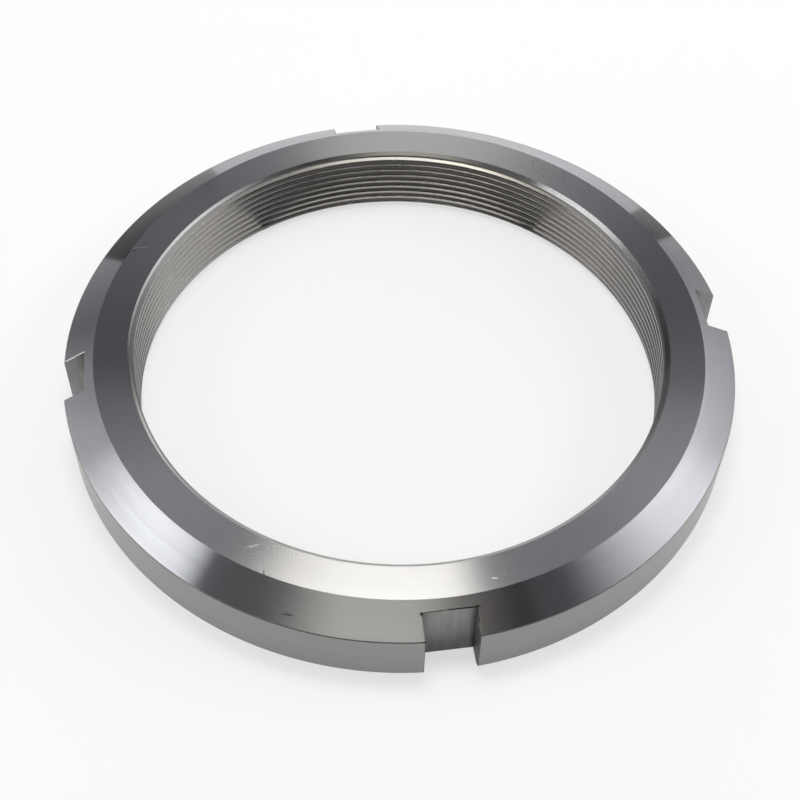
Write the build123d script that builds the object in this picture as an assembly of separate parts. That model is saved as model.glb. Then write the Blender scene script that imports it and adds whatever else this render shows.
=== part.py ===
from build123d import *
from math import radians, sqrt, tan
import os

# Bearing lock nut: a turned steel ring with a metric fine thread and four milled spanner slots.
# Millimetres. The origin is the centre of the flat back face, and +Z is the thread's axis, towards
# the bearing face, which has the wide outer chamfer. The slots lie on +X, +Y, -X and -Y.

# Thread: metric fine, M200 x 3. The plain bore of this solid is the thread's crest diameter.
thread_major_diameter = 200.0
thread_pitch = 3.0

# Turned ring
ring_wall = 25.0
ring_width = 29.0
outer_chamfer_width = 12.0
outer_chamfer_angle = 30.0
back_edge_chamfer = 2.0

# Lead-in chamfers at both mouths of the bore, a little wider than the thread's root
mouth_allowance = 0.5
mouth_chamfer_angle = 45.0

# Spanner slots, milled straight through the width with a flat floor and sharp floor corners
slot_count = 4
slot_width = 18.0
slot_depth = 8.5
cutter_overrun = 5.0

# Break on the rim below the outer chamfer and on every outer edge of the slots
edge_break = 0.3

# Dependent sizes
thread_height = 5 / 8 * thread_pitch * sqrt(3) / 2
root_radius = thread_major_diameter / 2
crest_radius = root_radius - thread_height
mouth_radius = root_radius + mouth_allowance
mouth_chamfer_height = (mouth_radius - crest_radius) * tan(radians(mouth_chamfer_angle))
outer_radius = root_radius + ring_wall
face_radius = outer_radius - outer_chamfer_width
rim_height = ring_width - outer_chamfer_width * tan(radians(outer_chamfer_angle))
slot_floor_radius = outer_radius - slot_depth
slot_middle_radius = outer_radius - slot_depth / 2

# The spun section starts midway between two slots, so that its seam crosses none of them.
section_plane = Plane.XZ.rotated((0, 0, 180 / slot_count))


def distance_from_axis(edge):
    """How far the middle of an edge lies from the thread's axis."""
    return sqrt(edge.center().X ** 2 + edge.center().Y ** 2)


def turned_ring():
    """The ring as it leaves the lathe: one closed section spun about the thread's axis."""
    with BuildPart() as ring:
        with BuildSketch(section_plane):
            with BuildLine():
                Polyline(
                    (crest_radius, mouth_chamfer_height),
                    (mouth_radius, 0),
                    (outer_radius - back_edge_chamfer, 0),
                    (outer_radius, back_edge_chamfer),
                    (outer_radius, rim_height),
                    (face_radius, ring_width),
                    (mouth_radius, ring_width),
                    (crest_radius, ring_width - mouth_chamfer_height),
                    close=True,
                )
            make_face()
        revolve(axis=Axis.Z)
    return ring.part


def mill_slots(ring):
    """Cuts the spanner slots through the ring, then breaks their outer edges and the rim."""
    with BuildPart() as slotted:
        add(ring)
        with Locations((0, 0, -cutter_overrun)):
            with PolarLocations(slot_floor_radius, slot_count):
                Box(
                    slot_depth + cutter_overrun,
                    slot_width,
                    ring_width + 2 * cutter_overrun,
                    align=(Align.MIN, Align.CENTER, Align.MIN),
                    mode=Mode.SUBTRACT,
                )
        cut_edges = slotted.edges(Select.LAST).filter_by(GeomType.CIRCLE, reverse=True)
        upright_edges = cut_edges.filter_by(Axis.Z)
        floor_corners = upright_edges.filter_by(lambda edge: distance_from_axis(edge) < slot_middle_radius)
        turned_edges = slotted.edges().filter_by(GeomType.CIRCLE)
        rim_arcs = turned_edges.filter_by_position(Axis.Z, rim_height, rim_height)
        chamfer(cut_edges - floor_corners + rim_arcs, length=edge_break)
    return slotted.part


lock_nut = mill_slots(turned_ring())

os.makedirs("parts", exist_ok=True)
export_step(lock_nut, "parts/lock_nut.step")
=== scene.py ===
import bmesh
import bpy
from math import cos, hypot, pi, radians, sin, tan
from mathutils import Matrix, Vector


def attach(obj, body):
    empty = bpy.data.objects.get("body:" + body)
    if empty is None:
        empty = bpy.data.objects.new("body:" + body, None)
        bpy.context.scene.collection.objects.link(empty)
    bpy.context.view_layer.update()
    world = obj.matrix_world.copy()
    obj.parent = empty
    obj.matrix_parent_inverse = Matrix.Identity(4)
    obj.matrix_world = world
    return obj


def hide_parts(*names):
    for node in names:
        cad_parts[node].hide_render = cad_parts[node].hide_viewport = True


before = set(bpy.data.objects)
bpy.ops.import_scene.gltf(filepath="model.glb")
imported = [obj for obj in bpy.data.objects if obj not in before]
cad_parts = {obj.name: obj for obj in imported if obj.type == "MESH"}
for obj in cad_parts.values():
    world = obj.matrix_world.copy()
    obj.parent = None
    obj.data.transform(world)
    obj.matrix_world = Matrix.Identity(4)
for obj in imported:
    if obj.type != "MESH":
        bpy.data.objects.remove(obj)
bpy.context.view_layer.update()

# Camera
# It looks down on the nut from in front, a little to the left of the front slot. The picture is
# square, and the shift places the nut in it as the photograph does.
camera_place = (-0.0574, -0.3493, 0.4411)
camera_turn = (39.354, 0.696, -7.092)
camera_lens = 65.59
camera_film = 36.0
camera_shift = (0.0662, -0.0404)
camera_nearest = 0.01

bpy.ops.object.select_all(action="DESELECT")
bpy.ops.object.camera_add(location=camera_place, rotation=[radians(angle) for angle in camera_turn])
camera = bpy.context.object
camera.name = "camera"
camera.data.lens = camera_lens
camera.data.sensor_width = camera_film
camera.data.shift_x, camera.data.shift_y = camera_shift
camera.data.clip_start = camera_nearest
bpy.context.scene.camera = camera
bpy.context.scene.view_settings.view_transform = "Standard"


# Floor
# A sheet of white card that the nut lies on. It is matt, so it takes the nut's soft shadow and no
# shine.
def linear(hex_colour):
    """The linear colour of an sRGB hex value."""
    channels = [int(hex_colour[i : i + 2], 16) / 255 for i in (1, 3, 5)]
    return [c / 12.92 if c <= 0.04045 else ((c + 0.055) / 1.055) ** 2.4 for c in channels] + [1.0]


def add_node(tree, kind, inputs=None, **settings):
    """Adds a node to a tree, sets its properties, and fills its inputs with values or links."""
    node = tree.nodes.new(kind)
    for name, value in settings.items():
        setattr(node, name, value)
    for name, value in (inputs or {}).items():
        if isinstance(value, bpy.types.NodeSocket):
            tree.links.new(value, node.inputs[name])
        else:
            node.inputs[name].default_value = value
    return node


def new_material(name):
    """An empty node material, with its tree. Where it glows, it isn't sampled as a lamp."""
    material = bpy.data.materials.new(name)
    material.use_nodes = True
    material.node_tree.nodes.clear()
    material.cycles.emission_sampling = "NONE"
    return material, material.node_tree


floor_size = 40.0
floor_gap = 0.0001
card_white = "#F4F5F7"
pure_white = "#FFFFFF"
backlight_share = 0.6
backlight_grows = 0.16
backlight_full = 0.6

# The photograph's ground is pure white, so the camera and the steel see the card as partly white by
# itself near the nut, where it keeps the shadow, and as all white away from it. It stays a plain
# card for all other light.
white_card, tree = new_material("matt_white_card")
card = add_node(tree, "ShaderNodeBsdfDiffuse", {"Color": linear(card_white)})
backlight = add_node(tree, "ShaderNodeEmission", {"Color": linear(pure_white), "Strength": 1.0})
path = add_node(tree, "ShaderNodeLightPath")
kinds_of_ray = add_node(tree, "ShaderNodeCombineXYZ", {
    "X": path.outputs["Is Camera Ray"],
    "Y": path.outputs["Is Glossy Ray"],
    "Z": path.outputs["Is Transmission Ray"],
})
seen = add_node(tree, "ShaderNodeVectorMath", {0: kinds_of_ray.outputs["Vector"], 1: (1, 1, 1)},
                operation="DOT_PRODUCT")
place = add_node(tree, "ShaderNodeTexCoord")
distance = add_node(tree, "ShaderNodeVectorMath", {0: place.outputs["Object"]}, operation="LENGTH")
fade = add_node(tree, "ShaderNodeMapRange", {
    "Value": distance.outputs["Value"],
    "From Min": backlight_grows,
    "From Max": backlight_full,
    "To Min": backlight_share,
    "To Max": 1.0,
})
share = add_node(tree, "ShaderNodeMath", {0: seen.outputs["Value"], 1: fade.outputs["Result"]},
                 operation="MULTIPLY", use_clamp=True)
mixed = add_node(tree, "ShaderNodeMixShader", {
    0: share.outputs["Value"],
    1: card.outputs["BSDF"],
    2: backlight.outputs["Emission"],
})
add_node(tree, "ShaderNodeOutputMaterial", {"Surface": mixed.outputs["Shader"]})

bpy.ops.mesh.primitive_plane_add(size=floor_size, location=(0, 0, -floor_gap))
floor = bpy.context.object
floor.name = "floor"
floor.data.materials.append(white_card)

# Studio light
# Softboxes stand round the nut in a dim room, whose ceiling is darker than its walls. The steel
# mirrors them as bright fans, and between the fans it shows the room and the card.
studio_heading = radians(-9.33)
wall_grey = "#767779"
ceiling_grey = "#202020"
ceiling_starts = 0.70
ceiling_ends = 0.92

room = bpy.data.worlds.new("dim_room")
bpy.context.scene.world = room
room.use_nodes = True
tree = room.node_tree
tree.nodes.clear()
direction = add_node(tree, "ShaderNodeTexCoord")
upward = add_node(tree, "ShaderNodeSeparateXYZ", {"Vector": direction.outputs["Generated"]})
height = add_node(tree, "ShaderNodeMapRange", {
    "Value": upward.outputs["Z"],
    "From Min": ceiling_starts,
    "From Max": ceiling_ends,
})
grey = add_node(tree, "ShaderNodeMix", {
    "Factor": height.outputs["Result"],
    "A": linear(wall_grey),
    "B": linear(ceiling_grey),
}, data_type="RGBA")
background = add_node(tree, "ShaderNodeBackground", {"Color": grey.outputs["Result"]})
add_node(tree, "ShaderNodeOutputWorld", {"Surface": background.outputs["Background"]})


def studio(x, y, z):
    """A place given from the camera's side, with +Y away from it, in the nut's own axes."""
    c, s = cos(studio_heading), sin(studio_heading)
    return Vector((c * x - s * y, s * x + c * y, z))


def softbox(name, place, size, edges, brightness, tilt=0.0, turn=0.0, roll=0.0, colour=pure_white):
    """A rectangular lamp at a studio place, whose cloth fades towards its edges.

    It faces down, unless tilted up to face +Y and then turned. Edges are the shares of its width
    and height over which it fades at each side. Brightness is its cloth's, where 1 looks white."""
    bpy.ops.object.light_add(type="AREA", location=studio(*place))
    lamp = bpy.context.object
    lamp.name = name
    lamp.rotation_euler = (radians(tilt), 0, studio_heading + radians(turn))
    lamp.rotation_euler.rotate_axis("Z", radians(roll))
    lamp.data.shape = "RECTANGLE"
    lamp.data.size, lamp.data.size_y = size
    lamp.data.energy = brightness * pi * size[0] * size[1]
    lamp.data.color = linear(colour)[:3]
    lamp.data.use_nodes = True
    tree = lamp.data.node_tree
    tree.nodes.clear()
    cloth = add_node(tree, "ShaderNodeNewGeometry")
    offset = add_node(tree, "ShaderNodeVectorMath", {0: cloth.outputs["Parametric"], 1: (0.5, 0.5, 0)},
                      operation="SUBTRACT")
    apart = add_node(tree, "ShaderNodeVectorMath", {0: offset.outputs["Vector"]}, operation="ABSOLUTE")
    sides = add_node(tree, "ShaderNodeSeparateXYZ", {"Vector": apart.outputs["Vector"]})
    across, along = [
        add_node(tree, "ShaderNodeMapRange", {
            "Value": sides.outputs[axis],
            "From Min": 0.5,
            "From Max": 0.5 - edge,
        }, interpolation_type="SMOOTHSTEP").outputs["Result"]
        for axis, edge in zip("XY", edges)
    ]
    glow = add_node(tree, "ShaderNodeMath", {0: across, 1: along}, operation="MULTIPLY")
    shader = add_node(tree, "ShaderNodeEmission", {"Strength": glow.outputs["Value"]})
    add_node(tree, "ShaderNodeOutputLight", {"Surface": shader.outputs["Emission"]})
    lamp.visible_camera = False


warm_white = "#FFFAEC"
lamp_yellow = "#FFEEDD"
softbox("overhead", (-0.052, 0.139, 1.03), (0.438, 0.381), (0.09, 0.44), 13.7, turn=8.8, colour=warm_white)
softbox("overhead_near", (0.018, 0.030, 1.02), (0.408, 0.139), (0.13, 0.38), 7.0, turn=13.0)
softbox("overhead_broad", (0.152, 0.355, 1.04), (2.73, 0.892), (0.36, 0.11), 0.48)
softbox("overhead_front", (-0.072, -0.816, 1.03), (1.15, 0.361), (0.38, 0.41), 2.8, colour=warm_white)
softbox("front_wing", (0.41, -0.63, 1.02), (0.16, 0.70), (0.3, 0.1), 0.22, colour=lamp_yellow)
softbox("left", (-0.9, -0.156, 0.775), (0.743, 0.456), (0.03, 0.04), 3.06, tilt=90, turn=-90, roll=-3.3)
softbox("left_wing", (-0.9, 0.20, 0.45), (0.46, 0.42), (0.5, 0.5), 0.6, tilt=90, turn=-90)
softbox("left_low", (-0.9, -0.297, 0.105), (2.0, 0.205), (0.5, 0.25), 12.9, tilt=90, turn=-90)
softbox("right", (0.9, 0.315, 0.693), (2.1, 0.415), (0.5, 0.05), 3.9, tilt=90, turn=90, roll=-22.8)
softbox("right_low", (0.9, -0.129, 0.109), (0.701, 0.21), (0.43, 0.05), 15.9, tilt=90, turn=90)
softbox("back_low", (0.046, 0.9, 0.238), (1.1, 0.47), (0.42, 0.30), 2.9, tilt=90, turn=180)


# Mirrored cards
# Pieces of black and grey paper that the steel mirrors, as dark patches between the bright fans.
# They hang over the nut or stand and lie by it, and only reflections take them in. The grey card
# under the front slot and the black card in the bore are painted shadow: they stand in for the
# nut's own shade on the floor there.
def mirrored_card(name, tone, corners):
    """A card of one even tone that only reflections take in, by the studio places of its corners."""
    bpy.ops.object.select_all(action="DESELECT")
    bpy.ops.mesh.primitive_plane_add(size=1)
    card = bpy.context.object
    card.name = name
    for vert, corner in zip(card.data.vertices, corners):
        vert.co = studio(*corner)
    paper, tree = new_material(name + "_paper")
    shader = add_node(tree, "ShaderNodeEmission", {"Color": linear(tone)})
    add_node(tree, "ShaderNodeOutputMaterial", {"Surface": shader.outputs["Emission"]})
    card.data.materials.append(paper)
    card.visible_camera = False
    card.visible_diffuse = False
    card.visible_shadow = False


def standing_card(name, tone, right, left, top):
    """A mirrored card that stands on the floor between two studio places."""
    mirrored_card(name, tone, [(*right, 0), (*left, 0), (*right, top), (*left, top)])


def level_card(name, tone, height, *corners):
    """A mirrored card that lies or hangs level at one height, by its corners' studio places."""
    mirrored_card(name, tone, [(*corner, height) for corner in corners])


# Black serves the dark paper flags and ceiling card, and the painted shade in the bore.
black_paper_and_shade = "#202020"
slot_shadow_grey = "#909090"
card_ceiling = 1.06
standing_card("right_flag", black_paper_and_shade, (0.180, 0.186), (0.158, 0.208), 0.05)
standing_card("left_flag", black_paper_and_shade, (-0.125, 0.232), (-0.200, 0.160), 0.10)
level_card("front_ceiling", black_paper_and_shade, card_ceiling,
           (0.25, -1.4), (1.05, -1.4), (0.25, -0.45), (0.58, -0.45))
# Painted shadow: a grey card lying under the front slot. Reflections show it in place of the nut's contact
# shadow on the floor there.
level_card("slot_shadow_card", slot_shadow_grey, 0,
           (0.0100, -0.1164), (0.0278, -0.1135), (0.0114, -0.1248), (0.0292, -0.1219))
# Painted shade: a black card on the floor in the bore by its far wall. Reflections show it in place of the
# shade on the floor there.
level_card("bore_shade_card", black_paper_and_shade, 0,
           (-0.0187, 0.040), (0.0214, 0.040), (-0.057, 0.0800), (0.0545, 0.0820))


# Ring
# The body of the nut, turned from one steel ring. Its section is cut out of a flat rectangle, a
# chamfer at a time, and spun about the thread's axis.
spin_steps = 540
crest_radius = 0.098376
mouth_radius = 0.1005
mouth_height = mouth_radius - crest_radius
face_radius = 0.113
outer_radius = 0.125
ring_width = 0.029
rim_height = 0.022072
back_edge_chamfer = 0.002
same_place = 0.000001


def edit(piece):
    """Enters edit mode on one piece, with nothing in it selected."""
    bpy.ops.object.select_all(action="DESELECT")
    bpy.context.view_layer.objects.active = piece
    piece.select_set(True)
    bpy.ops.object.mode_set(mode="EDIT")
    bpy.ops.mesh.select_all(action="DESELECT")


def chamfer_cut(a, b):
    """Cuts the section along the line from a to b, given as radius and height, and drops its left."""
    along = Vector((b[0] - a[0], 0, b[1] - a[1]))
    outward = Vector((-along.z, 0, along.x)).normalized()
    bpy.ops.mesh.select_all(action="SELECT")
    bpy.ops.mesh.bisect(plane_co=(a[0], 0, a[1]), plane_no=outward, clear_outer=True, threshold=same_place)


bpy.ops.object.select_all(action="DESELECT")
bpy.ops.mesh.primitive_plane_add(size=1, rotation=(radians(90), 0, 0))
nut = bpy.context.object
nut.name = "threaded_lock_nut"
nut.scale = (outer_radius - crest_radius, ring_width, 1)
nut.location = ((outer_radius + crest_radius) / 2, 0, ring_width / 2)
bpy.ops.object.transform_apply()
edit(nut)
chamfer_cut((face_radius, ring_width), (outer_radius, rim_height))
chamfer_cut((outer_radius, back_edge_chamfer), (outer_radius - back_edge_chamfer, 0))
chamfer_cut((mouth_radius, 0), (crest_radius, mouth_height))
chamfer_cut((crest_radius, ring_width - mouth_height), (mouth_radius, ring_width))
bpy.ops.mesh.select_all(action="SELECT")
bpy.ops.mesh.delete(type="ONLY_FACE")
bpy.ops.mesh.select_all(action="SELECT")
bpy.ops.mesh.spin(steps=spin_steps, angle=2 * pi, center=(0, 0, 0), axis=(0, 0, 1))
bpy.ops.mesh.select_all(action="SELECT")
bpy.ops.mesh.remove_doubles(threshold=same_place)
bpy.ops.mesh.normals_make_consistent(inside=False)
bpy.ops.object.mode_set(mode="OBJECT")


# Finishes of the steel
# Plain carbon steel, turned, ground, milled and threaded, and then oiled. The tools' marks run
# round the nut, so each surface mirrors the room sharply that way and spreads it across the marks.
cool_steel = "#A3A4A8"
face_steel = "#9FA0A4"
rim_steel = "#8C8C8C"
mouth_steel = "#929292"
oiled_steel = "#A3A19F"
milled_steel = "#8A8C8A"
broken_steel = "#6A6866"
burr_steel = "#C4C4C4"
# Near black, for dark nicks and for painted shade in the slots' corners and along their edges.
nick_and_shade_black = "#1C1C1C"

# The feed marks are about 0.15 mm apart in the steel. They are drawn coarser, from 3 mm down to
# 0.8 mm, because finer ones would only flicker at the photograph's size.
streak_width = 0.003
streak_length = 0.06
streak_detail = 2.0

# The milling cutter leaves mottles in the slots, about 2 mm wide and 11 mm long.
mottles_per_metre = (500, 500, 90)
mottle_detail = 3.0
mottle_depth = 0.12

# Noise hardly leaves this range, so it is what a pattern goes through from its dark to its light.
noise_low = 0.3
noise_high = 0.7

# A quarter turn, so that the gloss spreads across the tool's marks and not along them.
gloss_turn = 0.25


def metal(material, tree, colour, roughness, anisotropic):
    """Ends a steel material, whose lay runs round the thread's axis, with its shader."""
    lay = add_node(tree, "ShaderNodeTangent", direction_type="RADIAL", axis="Z")
    shader = add_node(tree, "ShaderNodeBsdfPrincipled", {
        "Base Color": colour,
        "Metallic": 1.0,
        "Roughness": roughness,
        "Anisotropic": anisotropic,
        "Anisotropic Rotation": gloss_turn,
        "Tangent": lay.outputs["Tangent"],
    })
    add_node(tree, "ShaderNodeOutputMaterial", {"Surface": shader.outputs["BSDF"]})
    return material


def blend(tree, share, a, b):
    """A colour that goes from a to b as the share goes from 0 to 1."""
    mix = add_node(tree, "ShaderNodeMix", {"Factor": share, "A": a, "B": b}, data_type="RGBA")
    return mix.outputs["Result"]


def shade(colour, factor):
    """A hex colour made lighter or darker by a factor, as a linear colour."""
    return [channel * factor for channel in linear(colour)[:3]] + [1.0]


def mottled(tree, place, detail, colour, depth):
    """A steel colour that noise at a place makes up to depth lighter and darker."""
    noise = add_node(tree, "ShaderNodeTexNoise", {"Vector": place, "Scale": 1.0, "Detail": detail})
    tone = add_node(tree, "ShaderNodeMapRange", {
        "Value": noise.outputs["Fac"],
        "From Min": noise_low,
        "From Max": noise_high,
    })
    return blend(tree, tone.outputs["Result"], shade(colour, 1 - depth), shade(colour, 1 + depth))


def line_mask(tree, place, start, end, width):
    """1 on a short straight line from start to end, in metres, and 0 beyond its width."""
    along = Vector(end) - Vector(start)
    offset = add_node(tree, "ShaderNodeVectorMath", {0: place, 1: start}, operation="SUBTRACT")
    share = add_node(tree, "ShaderNodeVectorMath", {
        0: offset.outputs["Vector"],
        1: along / along.length_squared,
    }, operation="DOT_PRODUCT")
    held = add_node(tree, "ShaderNodeClamp", {"Value": share.outputs["Value"]})
    foot = add_node(tree, "ShaderNodeVectorMath", {0: along, "Scale": held.outputs["Result"]},
                    operation="SCALE")
    gap = add_node(tree, "ShaderNodeVectorMath", {
        0: offset.outputs["Vector"],
        1: foot.outputs["Vector"],
    }, operation="DISTANCE")
    mask = add_node(tree, "ShaderNodeMapRange", {
        "Value": gap.outputs["Value"],
        "From Min": width / 2,
        "From Max": width / 8,
    })
    return mask.outputs["Result"]


def turned(name, colour, roughness, anisotropic, streaks, marks=()):
    """Steel from the lathe: streaks run round the axis, and marks are short scratches, nicks and lines of
    painted shade.
    """
    material, tree = new_material(name)
    place = add_node(tree, "ShaderNodeTexCoord").outputs["Object"]
    flat = add_node(tree, "ShaderNodeVectorMath", {0: place, 1: (1, 1, 0)}, operation="MULTIPLY")
    distance = add_node(tree, "ShaderNodeVectorMath", {0: flat.outputs["Vector"]}, operation="LENGTH")
    height = add_node(tree, "ShaderNodeSeparateXYZ", {"Vector": place})
    across = add_node(tree, "ShaderNodeMath", {0: distance.outputs["Value"], 1: height.outputs["Z"]},
                      operation="SUBTRACT")
    heading = add_node(tree, "ShaderNodeVectorMath", {0: flat.outputs["Vector"]}, operation="NORMALIZE")
    side = add_node(tree, "ShaderNodeSeparateXYZ", {"Vector": heading.outputs["Vector"]})
    lay = add_node(tree, "ShaderNodeCombineXYZ", {
        "X": side.outputs["X"],
        "Y": side.outputs["Y"],
        "Z": across.outputs["Value"],
    })
    scaled = add_node(tree, "ShaderNodeVectorMath", {
        0: lay.outputs["Vector"],
        1: (face_radius / streak_length, face_radius / streak_length, 1 / streak_width),
    }, operation="MULTIPLY")
    base = mottled(tree, scaled.outputs["Vector"], streak_detail, colour, streaks)
    for start, end, width, mark_colour in marks:
        base = blend(tree, line_mask(tree, place, start, end, width), base, linear(mark_colour))
    return metal(material, tree, base, roughness, anisotropic)


slot_width = 0.018
slot_floor_radius = 0.1165
shade_reach = 0.002
shade_depth = 0.55


def milled(name, colour, roughness, anisotropic):
    """Steel from the milling cutter: mottled along the cut, with painted shade in the slot's inner
    corners.
    """
    material, tree = new_material(name)
    place = add_node(tree, "ShaderNodeTexCoord").outputs["Object"]
    scaled = add_node(tree, "ShaderNodeVectorMath", {0: place, 1: mottles_per_metre}, operation="MULTIPLY")
    base = mottled(tree, scaled.outputs["Vector"], mottle_detail, colour, mottle_depth)
    unsigned = add_node(tree, "ShaderNodeVectorMath", {0: place}, operation="ABSOLUTE")
    sides = add_node(tree, "ShaderNodeSeparateXYZ", {"Vector": unsigned.outputs["Vector"]})
    both = {0: sides.outputs["X"], 1: sides.outputs["Y"]}
    sideways = add_node(tree, "ShaderNodeMath", both, operation="MINIMUM")
    outward = add_node(tree, "ShaderNodeMath", both, operation="MAXIMUM")
    reach = add_node(tree, "ShaderNodeCombineXYZ", {
        "X": sideways.outputs["Value"],
        "Y": outward.outputs["Value"],
    })
    gap = add_node(tree, "ShaderNodeVectorMath", {
        0: reach.outputs["Vector"],
        1: (slot_width / 2, slot_floor_radius, 0),
    }, operation="DISTANCE")
    # Painted shade: the slot darkens towards the creases where its floor meets its walls.
    painted_corner_shade = add_node(tree, "ShaderNodeMapRange", {
        "Value": gap.outputs["Value"],
        "From Min": 0.0,
        "From Max": shade_reach,
        "To Min": shade_depth,
        "To Max": 0.0,
    })
    base = blend(tree, painted_corner_shade.outputs["Result"], base, linear(nick_and_shade_black))
    return metal(material, tree, base, roughness, anisotropic)


# Scratches, nicks and painted shade, each from a start to an end, with its width and colour.
bright_scratch = "#C8C8C8"
faint_scratch = "#B8B8B8"
dull_scratch = "#606060"
bright_nick = "#DADADA"
faint_nick = "#BEBEBE"
dull_nick = "#484848"
# Dark grey, for a nick and for painted shade at the front slot's right corner and down its right edge.
nick_and_shade_grey = "#303030"
face_marks = [
    ((-0.0967, 0.0580, ring_width), (-0.0900, 0.0582, ring_width), 0.0006, bright_scratch),
    ((-0.0973, 0.0565, ring_width), (-0.0938, 0.0574, ring_width), 0.0005, dull_scratch),
    ((-0.0623, -0.0853, ring_width), (-0.0596, -0.0849, ring_width), 0.0006, bright_scratch),
    ((-0.0635, -0.0856, ring_width), (-0.0600, -0.0857, ring_width), 0.0005, faint_scratch),
    ((-0.0640, -0.0797, ring_width), (-0.0627, -0.0807, ring_width), 0.0005, faint_scratch),
    ((-0.0584, -0.0953, ring_width), (-0.0585, -0.0968, ring_width), 0.0005, dull_nick),
    ((0.0155, -0.1078, ring_width), (0.0170, -0.1080, ring_width), 0.0007, bright_nick),
    ((0.0194, -0.1063, ring_width), (0.0204, -0.1065, ring_width), 0.0004, faint_nick),
]
cone_marks = [
    ((-0.0533, -0.1094, 0.0240), (-0.0508, -0.1102, 0.0242), 0.0005, nick_and_shade_black),
    ((-0.0533, -0.1089, 0.0244), (-0.0519, -0.1093, 0.0245), 0.0004, dull_nick),
    # Dark marks at the front slot's top corners: a nick at the left one, painted shade at the right one.
    ((-0.0096, -0.1164, 0.0268), (-0.0093, -0.1171, 0.0265), 0.0009, nick_and_shade_grey),
    ((0.0088, -0.1161, 0.0271), (0.0099, -0.1164, 0.0268), 0.0008, nick_and_shade_grey),
]
edge_nicks_and_shade = [
    # Dark marks on the front slot's broken edges: a dark line along the right half of its top edge, nicks
    # at its left corners, and painted shade down its right edge.
    ((0.0, -0.1165, 0.0270), (0.0090, -0.1165, 0.0268), 0.0012, nick_and_shade_black),
    ((-0.0091, -0.1163, 0.0269), (-0.0091, -0.1170, 0.0265), 0.0012, nick_and_shade_black),
    ((0.0091, -0.1163, 0.0269), (0.0091, -0.1205, 0.0245), 0.0012, nick_and_shade_grey),
    ((-0.0098, -0.1244, 0.0222), (-0.0091, -0.1244, 0.0222), 0.0010, nick_and_shade_black),
]

# The face and the wide chamfer, turned last and finely, draw crisp fans with faint streaks. The
# ground rim is duller and more even. The mouth chamfer's feed is coarser, and its streaks show.
# The slots are flat grey and mottled, with painted shade in their inner corners. The thread is a little
# warm with oil.
# The broken edges are dark and dull, but for the burr that the cutter left bright in one place.
finishes = {
    "face": turned("fine_turned_steel", face_steel, 0.25, 1.0, 0.02, face_marks),
    "cone": turned("bright_turned_chamfer", cool_steel, 0.2, 1.0, 0.035, cone_marks),
    "wall": turned("ground_rim", rim_steel, 0.3, 0.6, 0.03),
    "mouth": turned("turned_mouth_chamfer", mouth_steel, 0.22, 0.9, 0.06),
    "slot": milled("milled_slot", milled_steel, 0.4, 0.3),
    "thread": turned("cut_thread", oiled_steel, 0.25, 0.5, 0.02),
    "edge": turned("broken_edge", broken_steel, 0.5, 0.0, 0.15, edge_nicks_and_shade),
    "burr": turned("bright_burr", burr_steel, 0.5, 0.0, 0.1),
}
finish_index = {name: i for i, name in enumerate(finishes)}
for material in finishes.values():
    nut.data.materials.append(material)


nearly_upright = 0.01


def surface_of(face):
    """Which surface a face of the spun ring belongs to. In the bore, the thread's stand upright."""
    middle = face.calc_center_median()
    distance = hypot(middle.x, middle.y)
    if distance < mouth_radius:
        return "thread" if abs(face.normal.z) < nearly_upright else "mouth"
    if distance < face_radius:
        return "face"
    return "cone" if middle.z > rim_height else "wall"


edit(nut)
mesh = bmesh.from_edit_mesh(nut.data)
for face in mesh.faces:
    face.material_index = finish_index[surface_of(face)]
bmesh.update_edit_mesh(nut.data)
bpy.ops.object.mode_set(mode="OBJECT")

# Spanner slots
# Four slots for a hook spanner, milled straight through the ring's width. Their outer edges and
# the rim's edge are broken with a file or in the lathe, and the floor's corners stay sharp.
slot_count = 4
cutter_overrun = 0.005
edge_break = 0.0003
edge_facets = 4


def select(piece, kind, wanted):
    """Selects the edges or vertices of a piece in edit mode for which wanted is true."""
    bpy.ops.mesh.select_mode(type={"edges": "EDGE", "verts": "VERT"}[kind])
    mesh = bmesh.from_edit_mesh(piece.data)
    for part in getattr(mesh, kind):
        part.select_set(bool(wanted(part)))
    mesh.select_flush_mode()
    bmesh.update_edit_mesh(piece.data)


def cut_away(piece, cutter):
    """Takes a cutter's solid out of a piece, whose new faces keep the cutter's finish."""
    bpy.ops.object.select_all(action="DESELECT")
    bpy.context.view_layer.objects.active = piece
    piece.select_set(True)
    cut = piece.modifiers.new("cut", "BOOLEAN")
    cut.operation = "DIFFERENCE"
    cut.solver = "EXACT"
    cut.material_mode = "TRANSFER"
    cut.object = cutter
    bpy.ops.object.modifier_apply(modifier=cut.name)
    bpy.data.objects.remove(cutter)


cutter_length = outer_radius - slot_floor_radius + cutter_overrun
for k in range(slot_count):
    bpy.ops.object.select_all(action="DESELECT")
    bpy.ops.mesh.primitive_cube_add(size=1)
    cutter = bpy.context.object
    cutter.scale = (cutter_length, slot_width, ring_width + 2 * cutter_overrun)
    cutter.location = (slot_floor_radius + cutter_length / 2, 0, ring_width / 2)
    bpy.ops.object.transform_apply()
    cutter.rotation_euler.z = 2 * pi * k / slot_count
    bpy.ops.object.transform_apply()
    cutter.data.materials.append(finishes["slot"])
    cut_away(nut, cutter)


def is_outer_edge(edge):
    """An edge of a slot towards a turned surface, or the rim below the wide chamfer."""
    if len(edge.link_faces) != 2:
        return False
    kinds = {face.material_index for face in edge.link_faces}
    if finish_index["slot"] in kinds:
        return len(kinds) == 2
    return kinds == {finish_index["wall"], finish_index["cone"]}


edit(nut)
select(nut, "edges", is_outer_edge)
bpy.ops.mesh.bevel(
    offset=edge_break,
    segments=edge_facets,
    affect="EDGES",
    clamp_overlap=False,
    material=finish_index["edge"],
)


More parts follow.
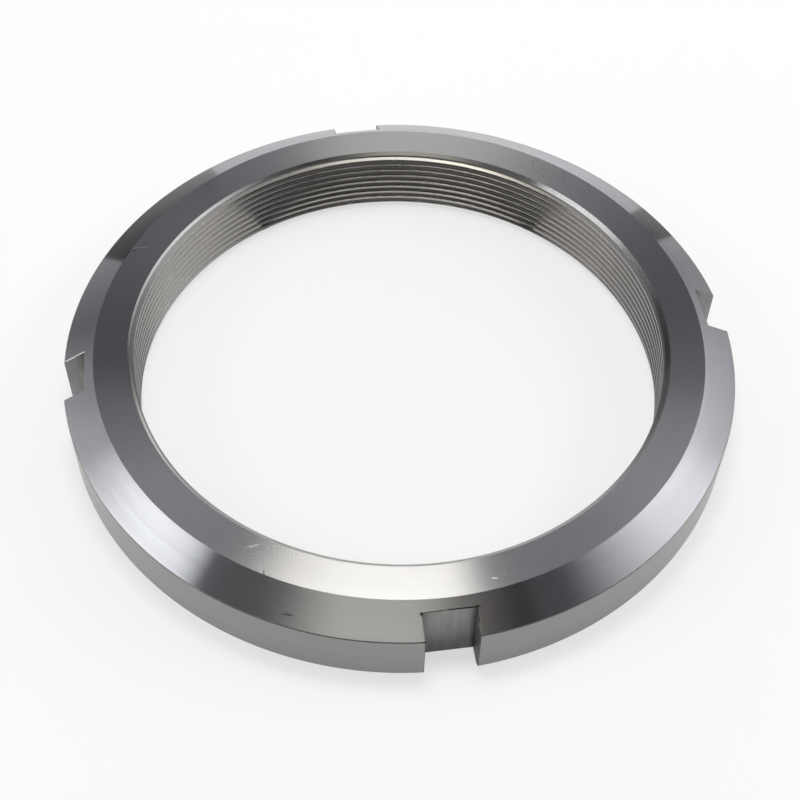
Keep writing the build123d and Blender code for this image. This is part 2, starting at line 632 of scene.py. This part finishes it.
def is_burred(face):
    """The broken edge where the cutter left the chamfer at the slot on -X, beside its +Y wall."""
    if face.material_index != finish_index["edge"]:
        return False
    middle = face.calc_center_median()
    return middle.x < -slot_floor_radius and 0 < middle.y < slot_width and middle.z > rim_height


mesh = bmesh.from_edit_mesh(nut.data)
for face in mesh.faces:
    if is_burred(face):
        face.material_index = finish_index["burr"]
bmesh.update_edit_mesh(nut.data)
bpy.ops.object.mode_set(mode="OBJECT")

# Thread
# M200 x 3, right hand, cut with a single-point tool: a helical groove with flanks at 60 degrees
# that runs out through both mouths of the bore. The tool's section is turned up a screw line.
thread_pitch = 0.003
root_radius = 0.1
root_flat = thread_pitch / 8
flank_angle = radians(30)
tool_inner_radius = 0.098
groove_start = -0.00635
thread_turns = 14
weld_gap = 0.000002
crease_angle = radians(25)

tool_depth = root_radius - tool_inner_radius
tool_middle = (root_radius + tool_inner_radius) / 2
tool_width = root_flat + 2 * tool_depth * tan(flank_angle)
bpy.ops.object.select_all(action="DESELECT")
bpy.ops.mesh.primitive_plane_add(size=1, rotation=(radians(90), 0, 0))
cutter = bpy.context.object
cutter.scale = (tool_depth, tool_width, 1)
cutter.location = (tool_middle, 0, groove_start)
bpy.ops.object.transform_apply()
edit(cutter)
select(cutter, "verts", lambda vert: vert.co.x > tool_middle)
bpy.ops.transform.resize(
    value=(1, 1, root_flat / tool_width),
    center_override=(root_radius, 0, groove_start),
)
bpy.ops.mesh.select_all(action="SELECT")
bpy.ops.mesh.delete(type="ONLY_FACE")
bpy.ops.object.mode_set(mode="OBJECT")
helix = cutter.modifiers.new("helix", "SCREW")
helix.axis = "Z"
helix.angle = 2 * pi
helix.steps = helix.render_steps = spin_steps
helix.iterations = thread_turns
helix.screw_offset = thread_pitch
bpy.ops.object.modifier_apply(modifier=helix.name)
edit(cutter)
bpy.ops.mesh.select_all(action="SELECT")
bpy.ops.mesh.fill_holes(sides=4)
bpy.ops.mesh.select_all(action="SELECT")
bpy.ops.mesh.normals_make_consistent(inside=False)
bpy.ops.object.mode_set(mode="OBJECT")
cutter.data.materials.append(finishes["thread"])
cut_away(nut, cutter)

edit(nut)
bpy.ops.mesh.select_all(action="SELECT")
bpy.ops.mesh.remove_doubles(threshold=weld_gap)
bpy.ops.mesh.dissolve_degenerate(threshold=same_place)
bpy.ops.object.mode_set(mode="OBJECT")
bpy.ops.object.shade_smooth_by_angle(angle=crease_angle)
normals = nut.modifiers.new("flat_faces_stay_flat", "WEIGHTED_NORMAL")
normals.keep_sharp = True
bpy.ops.object.modifier_apply(modifier=normals.name)

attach(nut, "root")
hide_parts("lock_nut")
